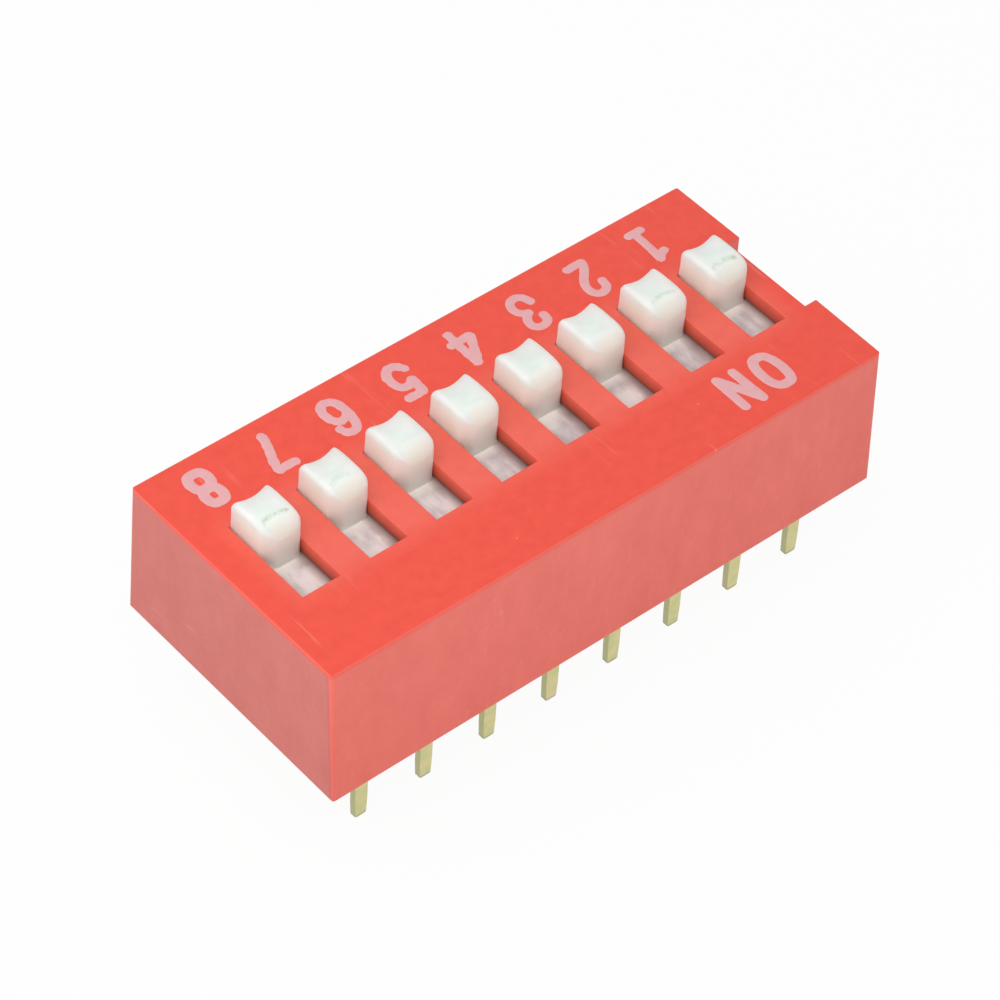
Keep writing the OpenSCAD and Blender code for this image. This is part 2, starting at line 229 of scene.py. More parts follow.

# %% [markdown]
# ## Red cover: moulded PBT
#
# The cover of a DIP switch is injection moulded from PBT, a hard polyester with some glass in
# it. The mould has a fine spark-eroded skin, so the plastic is satin: it keeps a strong red
# where it is looked at from above, and turns pale where it is seen at a slant, because it then
# mirrors the white floor. A flat colour with noise in its roughness could do for a distant
# view, but a face this large would look like paint. So the slow change of tone, the tiny pale
# dust marks, the scratches and the skin are each made on their own.
#
# The four upright sides are cloudy, and a painted sheen makes them paler: the white floor that
# they mirror at a slant is painted into their colour, and painted shade darkens them a little
# low down. Along their rims the painted sheen stops, so the red is stronger there. The two
# short ends carry a paler painted sheen still. The ribs between the slots are rubbed pale by
# fingers, and the walls of the slots are painted with shade, dark low down and bright at the
# mouth. One function makes all four finishes, so that they stay one plastic.

# %% Wear, and the skin of a surface
def worn_marks(tree, where, places, rubbed):
    """How pale each point is worn, by dust marks, by scratches and on the rubbed ribs."""
    # Dust: a speck in about one in five cells of 0.8 mm.
    dust = add_node(tree, "ShaderNodeTexVoronoi", {"Scale": every(0.8)}, {"Vector": where})
    spot = add_node(tree, "ShaderNodeMapRange", {1: 0.02, 2: 0.07, 3: 1.0, 4: 0.0},
                    {0: dust.outputs["Distance"]})
    chance = add_node(tree, "ShaderNodeSeparateColor", {}, {0: dust.outputs["Color"]})
    few = add_node(tree, "ShaderNodeMapRange", {1: 0.78, 2: 1.0, 3: 0.0, 4: 0.6},
                   {0: chance.outputs["Red"]})
    dusty = add_node(tree, "ShaderNodeMath", {"operation": "MULTIPLY"},
                     {0: spot.outputs[0], 1: few.outputs[0]})

    # Scratches: a noise drawn out along the slots, and only in some areas.
    along_slots = add_node(tree, "ShaderNodeMapping",
                           {"Rotation": (0, 0, 0.12), "Scale": (1.0, 0.045, 0.3)},
                           {"Vector": where})
    lines = add_node(tree, "ShaderNodeTexNoise",
                     {"Scale": every(0.22), "Detail": 3.0, "Roughness": 0.7},
                     {"Vector": along_slots.outputs[0]})
    thin = add_node(tree, "ShaderNodeMapRange", {1: 0.62, 2: 0.72, 3: 0.0, 4: 0.24},
                    {0: lines.outputs["Fac"]})
    area = add_node(tree, "ShaderNodeTexNoise", {"Scale": every(5.0), "Detail": 1.0},
                    {"Vector": where})
    here = add_node(tree, "ShaderNodeMapRange", {1: 0.42, 2: 0.52}, {0: area.outputs["Fac"]})
    scratched = add_node(tree, "ShaderNodeMath", {"operation": "MULTIPLY"},
                         {0: thin.outputs[0], 1: here.outputs[0]})

    # Ribs: the strip between the slots, from switch 1 to switch 8.
    from_middle = add_node(tree, "ShaderNodeMath", {"operation": "ABSOLUTE"},
                           {0: places.outputs["Y"]})
    ribs = add_node(tree, "ShaderNodeMapRange", {1: 1.4 * MM, 2: 2.4 * MM, 3: rubbed, 4: 0.0},
                    {0: from_middle.outputs[0]})
    from_centre = add_node(tree, "ShaderNodeMath", {"operation": "ABSOLUTE"},
                           {0: places.outputs["X"]})
    in_row = add_node(tree, "ShaderNodeMapRange", {1: 9.4 * MM, 2: 10.2 * MM, 3: 1.0, 4: 0.0},
                      {0: from_centre.outputs[0]})
    ribs = add_node(tree, "ShaderNodeMath", {"operation": "MULTIPLY"},
                    {0: ribs.outputs[0], 1: in_row.outputs[0]})

    marks = add_node(tree, "ShaderNodeMath", {"operation": "MAXIMUM"},
                     {0: dusty.outputs[0], 1: scratched.outputs[0]})
    return add_node(tree, "ShaderNodeMath", {"operation": "MAXIMUM"},
                    {0: marks.outputs[0], 1: ribs.outputs[0]})


def drift_between(tree, share, low_tone, high_tone, start=0.3, end=0.7):
    """Colours that drift from one tone to the other while the share goes from start to end."""
    spread = add_node(tree, "ShaderNodeMapRange", {1: start, 2: end}, {0: share})
    return add_node(tree, "ShaderNodeMix",
                    {"data_type": "RGBA", 6: linear(low_tone), 7: linear(high_tone)},
                    {0: spread.outputs[0]})


def give_skin(tree, shader, grain, smooth, rough, strength=0.0, depth_mm=0.0):
    """Roughness from smooth to rough over a grain, and bumps of it where it has a depth."""
    spread = add_node(tree, "ShaderNodeMapRange", {1: 0.3, 2: 0.7, 3: smooth, 4: rough},
                      {0: grain.outputs["Fac"]})
    tree.links.new(spread.outputs[0], shader.inputs["Roughness"])
    if depth_mm:
        bump = add_node(tree, "ShaderNodeBump", {"Strength": strength, "Distance": depth_mm * MM},
                        {"Height": grain.outputs["Fac"]})
        tree.links.new(bump.outputs[0], shader.inputs["Normal"])


print("scratches about 0.22 mm apart where the surface is scratched, dust in cells of 0.8 mm")

# %% Red moulded PBT
def red_moulding(name, low_tone, high_tone, clouds=0.0, rubbed=0.0, low_z=0.0, shade=0.6,
                 edges=0.0):
    """Satin PBT. Its red runs from one tone to the other in soft clouds, and with height by the
    share `shade`, from `low_z` up: that share is painted shade, darker low down. `edges` gives
    the rims the top's stronger red, where the painted sheen of the sides stops, and `rubbed`
    pales the ribs between the slots."""
    material, tree, shader, where = start_material(name)
    places = add_node(tree, "ShaderNodeSeparateXYZ", {}, {0: where})
    cloud = add_node(tree, "ShaderNodeTexNoise",
                     {"Scale": every(0.45), "Detail": 4.0, "Roughness": 0.6}, {"Vector": where})
    tall = add_node(tree, "ShaderNodeVectorMath", {"operation": "MULTIPLY", 1: (1.0, 1.0, 0.6)},
                    {0: where})
    blotch = add_node(tree, "ShaderNodeTexNoise",
                      {"Scale": every(1.1), "Detail": 6.0, "Roughness": 0.62},
                      {"Vector": tall.outputs[0]})
    # Painted shade: by the share `shade`, the red darkens from the top face down to low_z.
    height = add_node(tree, "ShaderNodeMapRange", {1: low_z, 2: top_z, 3: 0.25, 4: 0.75},
                      {0: places.outputs["Z"]})
    level = add_node(tree, "ShaderNodeMix", {"data_type": "FLOAT", 0: shade},
                     {2: blotch.outputs["Fac"], 3: height.outputs[0]})
    tone = add_node(tree, "ShaderNodeMix", {"data_type": "FLOAT", 0: clouds},
                    {2: cloud.outputs["Fac"], 3: level.outputs[0]})
    reds = drift_between(tree, tone.outputs[0], low_tone, high_tone)

    # The painted sheen stops at the rims: near the top and the bottom the red turns back to the
    # top's stronger red.
    top_edge = add_node(tree, "ShaderNodeMapRange",
                        {1: top_z - 0.18 * MM, 2: top_z - 0.03 * MM, 3: 0.0, 4: edges},
                        {0: places.outputs["Z"]})
    rim_edge = add_node(tree, "ShaderNodeMapRange", {1: 0.02 * MM, 2: 0.10 * MM, 3: edges, 4: 0.0},
                        {0: places.outputs["Z"]})
    edge = add_node(tree, "ShaderNodeMath", {"operation": "MAXIMUM"},
                    {0: top_edge.outputs[0], 1: rim_edge.outputs[0]})
    reds = add_node(tree, "ShaderNodeMix", {"data_type": "RGBA", 7: linear("#F45A49")},
                    {0: edge.outputs[0], 6: reds.outputs[2]})
    marks = worn_marks(tree, where, places, rubbed)
    marked = add_node(tree, "ShaderNodeMix", {"data_type": "RGBA", 7: linear("#F5A796")},
                      {0: marks.outputs[0], 6: reds.outputs[2]})
    tree.links.new(marked.outputs[2], shader.inputs["Base Color"])

    skin = add_node(tree, "ShaderNodeTexNoise",
                    {"Scale": every(0.12), "Detail": 2.0, "Roughness": 0.6}, {"Vector": where})
    give_skin(tree, shader, skin, 0.38, 0.48, strength=0.25, depth_mm=0.008)
    shader.inputs["IOR"].default_value = 1.55
    return material


red_pbt = red_moulding("moulded_red_pbt", "#E54430", "#ED4C37", rubbed=0.16)
# Sides and ends: their paler tones are a painted sheen, the white floor mirrored at a slant.
red_pbt_sides_painted_sheen = red_moulding("moulded_red_pbt_cloudy_sides_painted_sheen", "#EE6151", "#FF7668",
                             clouds=0.9, shade=0.4, edges=0.8)
red_pbt_ends_painted_sheen = red_moulding("moulded_red_pbt_ends_painted_sheen", "#CF5D52", "#DB7067",
                            clouds=0.9, shade=0.3, edges=0.8)
# Slot walls: dark low down and bright at the mouth, which is painted shade.
red_pbt_slots_painted_shade = red_moulding("moulded_red_pbt_slots_painted_shade", "#9A3A2A", "#FF6448",
                             clouds=0.9, shade=0.85, low_z=top_z - 0.6 * MM)
finish_with(nodes["cover"], red_pbt)
print("red PBT: skin grain 0.12 mm, four finishes")

# %% [markdown]
# ## White actuators: moulded nylon
#
# The sliders are moulded from a natural white nylon, which slides well on the red plastic. It
# is a little see-through, so light wanders under its surface, edges look soft, and the foot of
# each knob takes a warm tint from the red around it. Plain white paint with a gloss would look
# like china, so subsurface scattering does most of the work. On top of it come painted light,
# painted shade and one sign of use: the knob is tinted creamier low down, which is painted
# light, its front that faces the ON side is tinted beige, which is painted shade, and finger
# dirt lies in a thin broken line across the top.
#
# All eight knobs share one material. It finds its place on each knob by taking the place along
# the row modulo the pitch of the switches, which gives the same count on every knob.

# %% The place on a knob, and the dirt line
def place_on_knob(tree, where):
    """The place on the part, and how far each point lies from the middle of its own knob: along
    the row of switches, and along the travel."""
    first = middle_of("actuator_1")
    places = add_node(tree, "ShaderNodeSeparateXYZ", {}, {0: where})
    from_start = add_node(tree, "ShaderNodeMath", {"operation": "SUBTRACT", 1: first.x - pitch / 2},
                          {0: places.outputs["X"]})
    in_cell = add_node(tree, "ShaderNodeMath", {"operation": "FLOORED_MODULO", 1: pitch},
                       {0: from_start.outputs[0]})
    knob_x = add_node(tree, "ShaderNodeMath", {"operation": "SUBTRACT", 1: pitch / 2},
                      {0: in_cell.outputs[0]})
    knob_y = add_node(tree, "ShaderNodeMath", {"operation": "SUBTRACT", 1: first.y},
                      {0: places.outputs["Y"]})
    return places, knob_x, knob_y


def finger_dirt(tree, where, places, knob_x, knob_y):
    """A thin broken line that curves across each knob, strongest on the two end switches."""
    square = add_node(tree, "ShaderNodeMath", {"operation": "POWER", 1: 2.0},
                      {0: knob_x.outputs[0]})
    curve = add_node(tree, "ShaderNodeMath", {"operation": "MULTIPLY_ADD", 1: 620.0, 2: 0.27 * MM},
                     {0: square.outputs[0]})
    off_line = add_node(tree, "ShaderNodeMath", {"operation": "SUBTRACT"},
                        {0: knob_y.outputs[0], 1: curve.outputs[0]})
    off_line = add_node(tree, "ShaderNodeMath", {"operation": "ABSOLUTE"}, {0: off_line.outputs[0]})
    line = add_node(tree, "ShaderNodeMapRange", {1: 0.01 * MM, 2: 0.15 * MM, 3: 1.0, 4: 0.0},
                    {0: off_line.outputs[0]})
    aside = add_node(tree, "ShaderNodeMath", {"operation": "ABSOLUTE"}, {0: knob_x.outputs[0]})
    inner = add_node(tree, "ShaderNodeMapRange", {1: 0.42 * MM, 2: 0.56 * MM, 3: 1.0, 4: 0.0},
                     {0: aside.outputs[0]})
    broken = add_node(tree, "ShaderNodeTexNoise",
                      {"Scale": every(0.35), "Detail": 3.0, "Roughness": 0.6}, {"Vector": where})
    kept = add_node(tree, "ShaderNodeMapRange", {1: 0.36, 2: 0.62}, {0: broken.outputs["Fac"]})
    row_x = add_node(tree, "ShaderNodeMath", {"operation": "ABSOLUTE"}, {0: places.outputs["X"]})
    ends = add_node(tree, "ShaderNodeMapRange", {1: 5.0 * MM, 2: 8.6 * MM, 3: 0.10, 4: 0.75},
                    {0: row_x.outputs[0]})
    on_top = add_node(tree, "ShaderNodeMath", {"operation": "GREATER_THAN", 1: top_z + 0.5 * MM},
                      {0: places.outputs["Z"]})
    dirt = line
    for limit in (inner, kept, ends, on_top):
        dirt = add_node(tree, "ShaderNodeMath", {"operation": "MULTIPLY"},
                        {0: dirt.outputs[0], 1: limit.outputs[0]})
    return dirt


print("knobs repeat every", round(pitch / MM, 2), "mm, dirt line 0.27 mm ahead of their middle")

# %% White moulded nylon
white_nylon, tree, shader, where = start_material("moulded_white_nylon")
places, knob_x, knob_y = place_on_knob(tree, where)
tone = add_node(tree, "ShaderNodeTexNoise", {"Scale": every(0.6), "Detail": 4.0}, {"Vector": where})
whites = drift_between(tree, tone.outputs["Fac"], "#DDEDE3", "#E7F7EE")

# Painted light: low down the nylon is tinted creamier. Painted shade: its front, which faces
# the ON side, is tinted beige, as far as the crease beside the slanting corner.
below = add_node(tree, "ShaderNodeMapRange",
                 {1: top_z + 0.55 * MM, 2: top_z + 0.95 * MM, 3: 0.8, 4: 0.0},
                 {0: places.outputs["Z"]})
low_painted_light = add_node(tree, "ShaderNodeMix", {"data_type": "RGBA", 7: linear("#F3FFE9")},
                   {0: below.outputs[0], 6: whites.outputs[2]})
# Painted shade on the upper front that faces the ON side, to the right of the crease.
front = add_node(tree, "ShaderNodeMapRange", {1: 0.35 * MM, 2: 0.60 * MM, 3: 0.0, 4: 0.6},
                 {0: knob_y.outputs[0]})
above = add_node(tree, "ShaderNodeMapRange", {1: top_z + 0.4 * MM, 2: top_z + 0.65 * MM},
                 {0: places.outputs["Z"]})
front = add_node(tree, "ShaderNodeMath", {"operation": "MULTIPLY"},
                 {0: front.outputs[0], 1: above.outputs[0]})
flat = add_node(tree, "ShaderNodeMapRange", {1: 0.26 * MM, 2: 0.36 * MM, 3: 1.0, 4: 0.0},
                {0: knob_x.outputs[0]})
front = add_node(tree, "ShaderNodeMath", {"operation": "MULTIPLY"},
                 {0: front.outputs[0], 1: flat.outputs[0]})
front_painted_shade = add_node(tree, "ShaderNodeMix", {"data_type": "RGBA", 7: linear("#F2F0DE")},
                   {0: front.outputs[0], 6: low_painted_light.outputs[2]})
dirt = finger_dirt(tree, where, places, knob_x, knob_y)
used = add_node(tree, "ShaderNodeMix", {"data_type": "RGBA", 7: linear("#9A9E76")},
                {0: dirt.outputs[0], 6: front_painted_shade.outputs[2]})
tree.links.new(used.outputs[2], shader.inputs["Base Color"])

skin = add_node(tree, "ShaderNodeTexNoise", {"Scale": every(0.1), "Detail": 2.0},
                {"Vector": where})
give_skin(tree, shader, skin, 0.42, 0.54, strength=0.2, depth_mm=0.006)
shader.inputs["IOR"].default_value = 1.5
shader.inputs["Subsurface Weight"].default_value = 1.0
shader.inputs["Subsurface Radius"].default_value = (1.4, 1.3, 1.2)    # red wanders furthest
shader.inputs["Subsurface Scale"].default_value = MM
for i in switches:
    finish_with(nodes[f"actuator_{i}"], white_nylon)
wander = [round(r, 1) for r in shader.inputs["Subsurface Radius"].default_value]
print("nylon: light wanders", wander, "mm in red, green and blue")

# %% [markdown]
# ## The slider's plate: nylon rubbed in its slot, with painted shade and light
#
# Between the knob and the end of the slot the flat plate of the slider shows. It slides along
# under the roof all the time, so it is smudged grey in the direction of travel. Its grey is also
# darker than the knob's white, which is partly painted shade of the slot. Beside the slot walls
# it is darkened brown, which is painted shadow of the walls, and close to the knob's foot it is
# lightened, which is painted light. So the plate gets a material of its own, whose smudges are
# twice as long as they are wide.

# %% Rubbed nylon for the plate, with painted shade and light
rubbed_shaded_nylon, tree, shader, where = start_material("rubbed_white_nylon_plate_with_painted_shade")
drawn = add_node(tree, "ShaderNodeMapping", {"Scale": (1.0, 0.45, 1.0)}, {"Vector": where})
streak = add_node(tree, "ShaderNodeTexNoise",
                  {"Scale": every(0.5), "Detail": 3.0, "Roughness": 0.55},
                  {"Vector": drawn.outputs[0]})
smudges_and_shade = drift_between(tree, streak.outputs["Fac"], "#BEB6B7", "#E3DBD9", start=0.38, end=0.60)

# Painted light: close to the knob's foot the plate is lightened to white on both sides of it.
places, knob_x, knob_y = place_on_knob(tree, where)
off_knob = add_node(tree, "ShaderNodeMath", {"operation": "ABSOLUTE"}, {0: knob_y.outputs[0]})
foot_painted_light = add_node(tree, "ShaderNodeMapRange", {1: 0.90 * MM, 2: 1.25 * MM, 3: 0.85, 4: 0.0},
                {0: off_knob.outputs[0]})
smudges_and_shade = add_node(tree, "ShaderNodeMix", {"data_type": "RGBA", 7: linear("#F6F2EC")},
                 {0: foot_painted_light.outputs[0], 6: smudges_and_shade.outputs[2]})
# Painted shadow: the plate darkens to brown beside the slot walls, where the walls shade it.
aside = add_node(tree, "ShaderNodeMath", {"operation": "ABSOLUTE"}, {0: knob_x.outputs[0]})
wall_painted_shadow = add_node(tree, "ShaderNodeMapRange", {1: 0.33 * MM, 2: 0.70 * MM, 3: 0.0, 4: 0.85},
                  {0: aside.outputs[0]})
wall_shaded = add_node(tree, "ShaderNodeMix", {"data_type": "RGBA", 7: linear("#6E5048")},
                 {0: wall_painted_shadow.outputs[0], 6: smudges_and_shade.outputs[2]})
tree.links.new(wall_shaded.outputs[2], shader.inputs["Base Color"])
give_skin(tree, shader, streak, 0.40, 0.55)
shader.inputs["IOR"].default_value = 1.5
print("plate: smudges 0.5 mm across, grease from 0.33 mm off the middle")

# %% [markdown]
# ## Terminals and springs: gold flash on stamped bronze
#
# Pins and contact springs are stamped from bronze strip and carry a very thin gold flash over
# nickel. The flash is too thin for a warm gold, so the pins look like pale, dull brass. It is
# plated metal, so it has no colour but that of what it mirrors: Metallic is 1, the two close
# tones go into the mirror colour, and a fine grain blurs what it mirrors.
#
# The press shears the narrow edges of each pin, which leaves them rougher and greyer, with
# fine lines in the direction of the punch. Those edges get a second material. The very tip is
# cut off the carrier strip after plating, so both materials darken there to bare metal.

# %% Gold flash on bronze
def cut_tip(tree, where, colours):
    """Darkens the last tenth of a millimetre of the pins, where the strip was cut off."""
    places = add_node(tree, "ShaderNodeSeparateXYZ", {}, {0: where})
    bare = add_node(tree, "ShaderNodeMapRange",
                    {1: pin_tip_z + 0.03 * MM, 2: pin_tip_z + 0.16 * MM, 3: 0.6, 4: 0.0},
                    {0: places.outputs["Z"]})
    return add_node(tree, "ShaderNodeMix", {"data_type": "RGBA", 7: linear("#86887A")},
                    {0: bare.outputs[0], 6: colours.outputs[2]})


gold_flash, tree, shader, where = start_material("gold_flashed_bronze")
tone = add_node(tree, "ShaderNodeTexNoise", {"Scale": every(0.4), "Detail": 1.0}, {"Vector": where})
golds = drift_between(tree, tone.outputs["Fac"], "#C4C78C", "#D9CB9A")
golds = cut_tip(tree, where, golds)
tree.links.new(golds.outputs[2], shader.inputs["Base Color"])
shader.inputs["Metallic"].default_value = 1.0
grain = add_node(tree, "ShaderNodeTexNoise", {"Scale": every(0.08), "Detail": 2.0},
                 {"Vector": where})
give_skin(tree, shader, grain, 0.38, 0.50, strength=0.2, depth_mm=0.005)

cut_bronze, tree, shader, where = start_material("sheared_edge_of_gold_flashed_bronze")
drag = add_node(tree, "ShaderNodeMapping", {"Scale": (1.0, 0.15, 1.0)}, {"Vector": where})
lines = add_node(tree, "ShaderNodeTexNoise", {"Scale": every(0.1), "Detail": 2.0},
                 {"Vector": drag.outputs[0]})
dull = drift_between(tree, lines.outputs["Fac"], "#ADAB85", "#C2BF94", start=0.0, end=1.0)
dull = cut_tip(tree, where, dull)
tree.links.new(dull.outputs[2], shader.inputs["Base Color"])
shader.inputs["Metallic"].default_value = 1.0
give_skin(tree, shader, lines, 0.50, 0.65)
for i in pins:
    finish_with(nodes[f"terminal_{i}"], gold_flash)
for i in switches:
    finish_with(nodes[f"contact_{i}"], gold_flash)
print("gold flash: tones drift over 0.4 mm, grain 0.08 mm")

# %% [markdown]
# ## Black base and amber seal
#
# The base is the same hard polyester as the cover, in black, and looks satin for the same
# reason. The seal is epoxy resin poured into the underside: it sets glossy and amber, with a
# slow swell in its surface where it ran between the pins. Neither moves or shows an edge that
# matters, so both keep their CAD shape and only get a finish.

# %% Black moulded PBT and poured epoxy
black_pbt, tree, shader, where = start_material("moulded_black_pbt")
skin = add_node(tree, "ShaderNodeTexNoise", {"Scale": every(0.12), "Detail": 2.0},
                {"Vector": where})
blacks = drift_between(tree, skin.outputs["Fac"], "#242427", "#323235", start=0.0, end=1.0)
tree.links.new(blacks.outputs[2], shader.inputs["Base Color"])
give_skin(tree, shader, skin, 0.42, 0.55)
finish_with(nodes["base"], black_pbt)

amber_epoxy, tree, shader, where = start_material("poured_amber_epoxy")
flow = add_node(tree, "ShaderNodeTexNoise", {"Scale": every(1.6), "Detail": 1.0}, {"Vector": where})
ambers = drift_between(tree, flow.outputs["Fac"], "#C9B98A", "#DCCFA6", start=0.0, end=1.0)
tree.links.new(ambers.outputs[2], shader.inputs["Base Color"])
give_skin(tree, shader, flow, 0.12, 0.22, strength=0.4, depth_mm=0.05)
finish_with(nodes["seal"], amber_epoxy)
print("black PBT grain 0.12 mm, epoxy swell 1.6 mm")

# %% [markdown]
# ## Starting a piece from a CAD node
#
# Some pieces keep the CAD shape and only want softer edges. A CAD mesh comes as loose
# triangles, so a copy of it is merged first, and its flat faces are made whole again with a
# limited dissolve. After that a Bevel modifier can find the real edges by their angle. The
# Weighted Normal modifier keeps the big faces flat, so that only the new edges look round.

# %% Copy and soften helpers
def only(obj):
    """Makes this object the only one selected, and the active one."""
    bpy.ops.object.select_all(action="DESELECT")
    obj.select_set(True)
    bpy.context.view_layer.objects.active = obj


def copy_of(node, name):
    """A merged copy of a CAD node's mesh, with whole flat faces, as a new object."""
    piece = bpy.data.objects.new(name, nodes[node].data.copy())
    bpy.context.scene.collection.objects.link(piece)
    only(piece)
    bpy.ops.mesh.customdata_custom_splitnormals_clear()
    bpy.ops.object.mode_set(mode="EDIT")
    bpy.ops.mesh.select_all(action="SELECT")
    bpy.ops.mesh.remove_doubles(threshold=0.001 * MM)
    bpy.ops.mesh.dissolve_limited(angle_limit=math.radians(1))
    bpy.ops.object.mode_set(mode="OBJECT")
    return piece


def soften(piece, radius, angle=40, steps=2):
    """Rounds every edge that turns by more than the angle, and keeps the flat faces flat."""
    only(piece)
    bevel = piece.modifiers.new("soft_edges", "BEVEL")
    bevel.width = radius
    bevel.segments = steps
    bevel.limit_method = "ANGLE"
    bevel.angle_limit = math.radians(angle)
    bevel.use_clamp_overlap = True
    bpy.ops.object.modifier_apply(modifier="soft_edges")
    bpy.ops.object.shade_smooth_by_angle(angle=math.radians(40))
    piece.modifiers.new("flat_faces", "WEIGHTED_NORMAL").keep_sharp = True
    bpy.ops.object.modifier_apply(modifier="flat_faces")


def moved_copy(model, name, step):
    """A copy of a finished piece, as a new object, one step along the row of switches."""
    piece = bpy.data.objects.new(name, model.data.copy())
    bpy.context.scene.collection.objects.link(piece)
    for vertex in piece.data.vertices:
        vertex.co.x += step
    return piece


def standing_for(piece, node, body, material):
    """Puts a finished piece in the place of a CAD node, on the body that carries it."""
    finish_with(piece, material)
    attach(piece, body)
    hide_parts(node)


# %% [markdown]
# ## The cover's edges
#
# The cover's CAD shape is right in every size, so a copy of it only gets softer edges. At each
# of its eight outer corners CAD has a small round, but a mould wears most where three faces
# meet, so there the real one is rounder. A second bevel finds no sharp edge to work on, so the
# few vertices of the round are scaled up about the point where the three faces would meet.
# The mouths of the slots get a wider round than the other edges, because nails and pen tips
# wear them.

# %% Soften the cover
cover = copy_of("cover", "cover_moulding")
corner_reach = 0.13 * MM                        # the CAD round is 0.12 mm
corner_growth = 1.8
slots_half_width = 2.2 * MM                     # the mouths of the slots lie inside these two
slots_half_length = cover_high.x - 1.0 * MM
mouth_round = 0.05 * MM
mould_round = 0.03 * MM
side_draft = math.radians(2.7)                  # how far the long sides lean in
top_half_width = cover_high.y - top_z * math.tan(side_draft)
bpy.ops.object.mode_set(mode="EDIT")
bpy.ops.mesh.select_mode(type="VERT")
for x in (cover_low.x, cover_high.x):
    for z, y in ((0.0, cover_high.y), (top_z, top_half_width)):
        for side in (-1, 1):
            corner = Vector((x, side * y, z))
            bpy.ops.mesh.select_all(action="DESELECT")
            bpy.ops.object.mode_set(mode="OBJECT")
            for vertex in cover.data.vertices:
                vertex.select = max(abs(c) for c in vertex.co - corner) < corner_reach
            grown = sum(vertex.select for vertex in cover.data.vertices)
            print("corner", [round(c / MM, 2) for c in corner], grown, "vertices")
            bpy.ops.object.mode_set(mode="EDIT")
            bpy.ops.transform.resize(value=[corner_growth] * 3, center_override=corner)
bpy.ops.mesh.select_all(action="DESELECT")
bpy.ops.mesh.select_mode(type="EDGE")
bpy.ops.object.mode_set(mode="OBJECT")
for edge in cover.data.edges:
    ends = [cover.data.vertices[v].co for v in edge.vertices]
    edge.select = all(e.z > top_z - 0.01 * MM and abs(e.y) < slots_half_width
                      and abs(e.x) < slots_half_length for e in ends)
bpy.ops.object.mode_set(mode="EDIT")
bpy.ops.mesh.bevel(offset=mouth_round, segments=3, affect="EDGES")
bpy.ops.object.mode_set(mode="OBJECT")
soften(cover, mould_round)
standing_for(cover, "cover", "housing", red_pbt)
print("cover moulding:", len(cover.data.polygons), "faces")

# %% Give the sides and the ends their reds with painted sheen, and the slot walls theirs with painted shade
for finish in (red_pbt_sides_painted_sheen, red_pbt_ends_painted_sheen, red_pbt_slots_painted_shade):
    cover.data.materials.append(finish)
outer_x, outer_y = 10.8 * MM, 4.5 * MM          # a face past one of these is on the outside
slot_y, slot_z = 2.0 * MM, top_z - 0.6 * MM     # and the walls of the slots lie within these
outside = 0
for face in cover.data.polygons:
    upright = abs(face.normal.z) < 0.15
    near_side = abs(face.center.y) > outer_y or abs(face.center.x) > outer_x
    # Sides and ends, with their rounds, take the reds with the painted sheen.
    if near_side and abs(face.normal.z) < 0.9:
        face.material_index = 2 if abs(face.normal.x) > 0.9 else 1
        outside += 1
    # The slot walls take the red with painted shade.
    elif upright and abs(face.center.y) < slot_y and face.center.z > slot_z:
        face.material_index = 3
print(outside, "faces on the outer sides, with their rounds")

# %% [markdown]
# ## The knobs
#
# Each slider ends in a knob that a finger nail or a pen tip pushes. Its top is a saddle: a
# shallow hollow runs in the direction of travel between two rounded ridges, and the top rolls
# down early towards the ON side. The front there isn't square: about a third of it is a
# slanting corner, and a crisp upright crease parts it from the flat that the nail pushes.
#
# Such a form could be cut from a block with a cylinder, but then every edge would still be
# hard. A cage with a subdivision surface gives the saddle, the crease and all of the soft
# edges at once. The cage is a cube that is cut into rows, and each row is pushed to its place:
# two rows close together make a tight edge, and two rows far apart make a wide one.

# %% The rows of the cage, in millimetres from the middle of the knob
across = (-0.678, -0.61, -0.42, -0.14, 0.16, 0.44, 0.57, 0.678)   # along the row of switches
along = (-0.873, -0.76, -0.35, 0.05, 0.40, 0.54, 0.74, 0.873)     # from the OFF side to ON
upward = (-1.00, -0.60, -0.54, -0.30, 0.25, 0.60, 0.95, 1.12)     # from the top face up
crown = (                                                         # added to the top's height
    (-0.17, -0.14, -0.26, -0.33, -0.27, -0.17, -0.16, -0.26),
    (-0.06, -0.02, -0.20, -0.29, -0.23, -0.10, -0.05, -0.14),
    (-0.02, 0.02, -0.09, -0.19, -0.15, -0.05, -0.01, -0.08),
    (-0.02, 0.02, -0.04, -0.09, -0.08, -0.03, -0.01, -0.08),
    (-0.03, 0.01, -0.02, -0.02, -0.02, -0.01, -0.03, -0.10),
    (-0.06, -0.02, -0.09, -0.10, -0.10, -0.08, -0.09, -0.16),
    (-0.15, -0.12, -0.24, -0.28, -0.28, -0.24, -0.22, -0.26),
    (-0.36, -0.38, -0.50, -0.56, -0.56, -0.50, -0.46, -0.48),
)
on_side = (                                                       # plan of the ON side
    (-0.64, 0.81), (-0.54, 0.873), (-0.42, 0.873), (-0.14, 0.873),
    (0.22, 0.873), (0.31, 0.872), (0.43, 0.77), (0.60, 0.62))
last = len(across) - 1
slant = {last - 2: (0.678, 0.38), last - 1: (0.655, 0.53)}        # where its slant ends
wall_z = 0.10                                                     # the crown begins above this
print(last + 1, "rows each way")

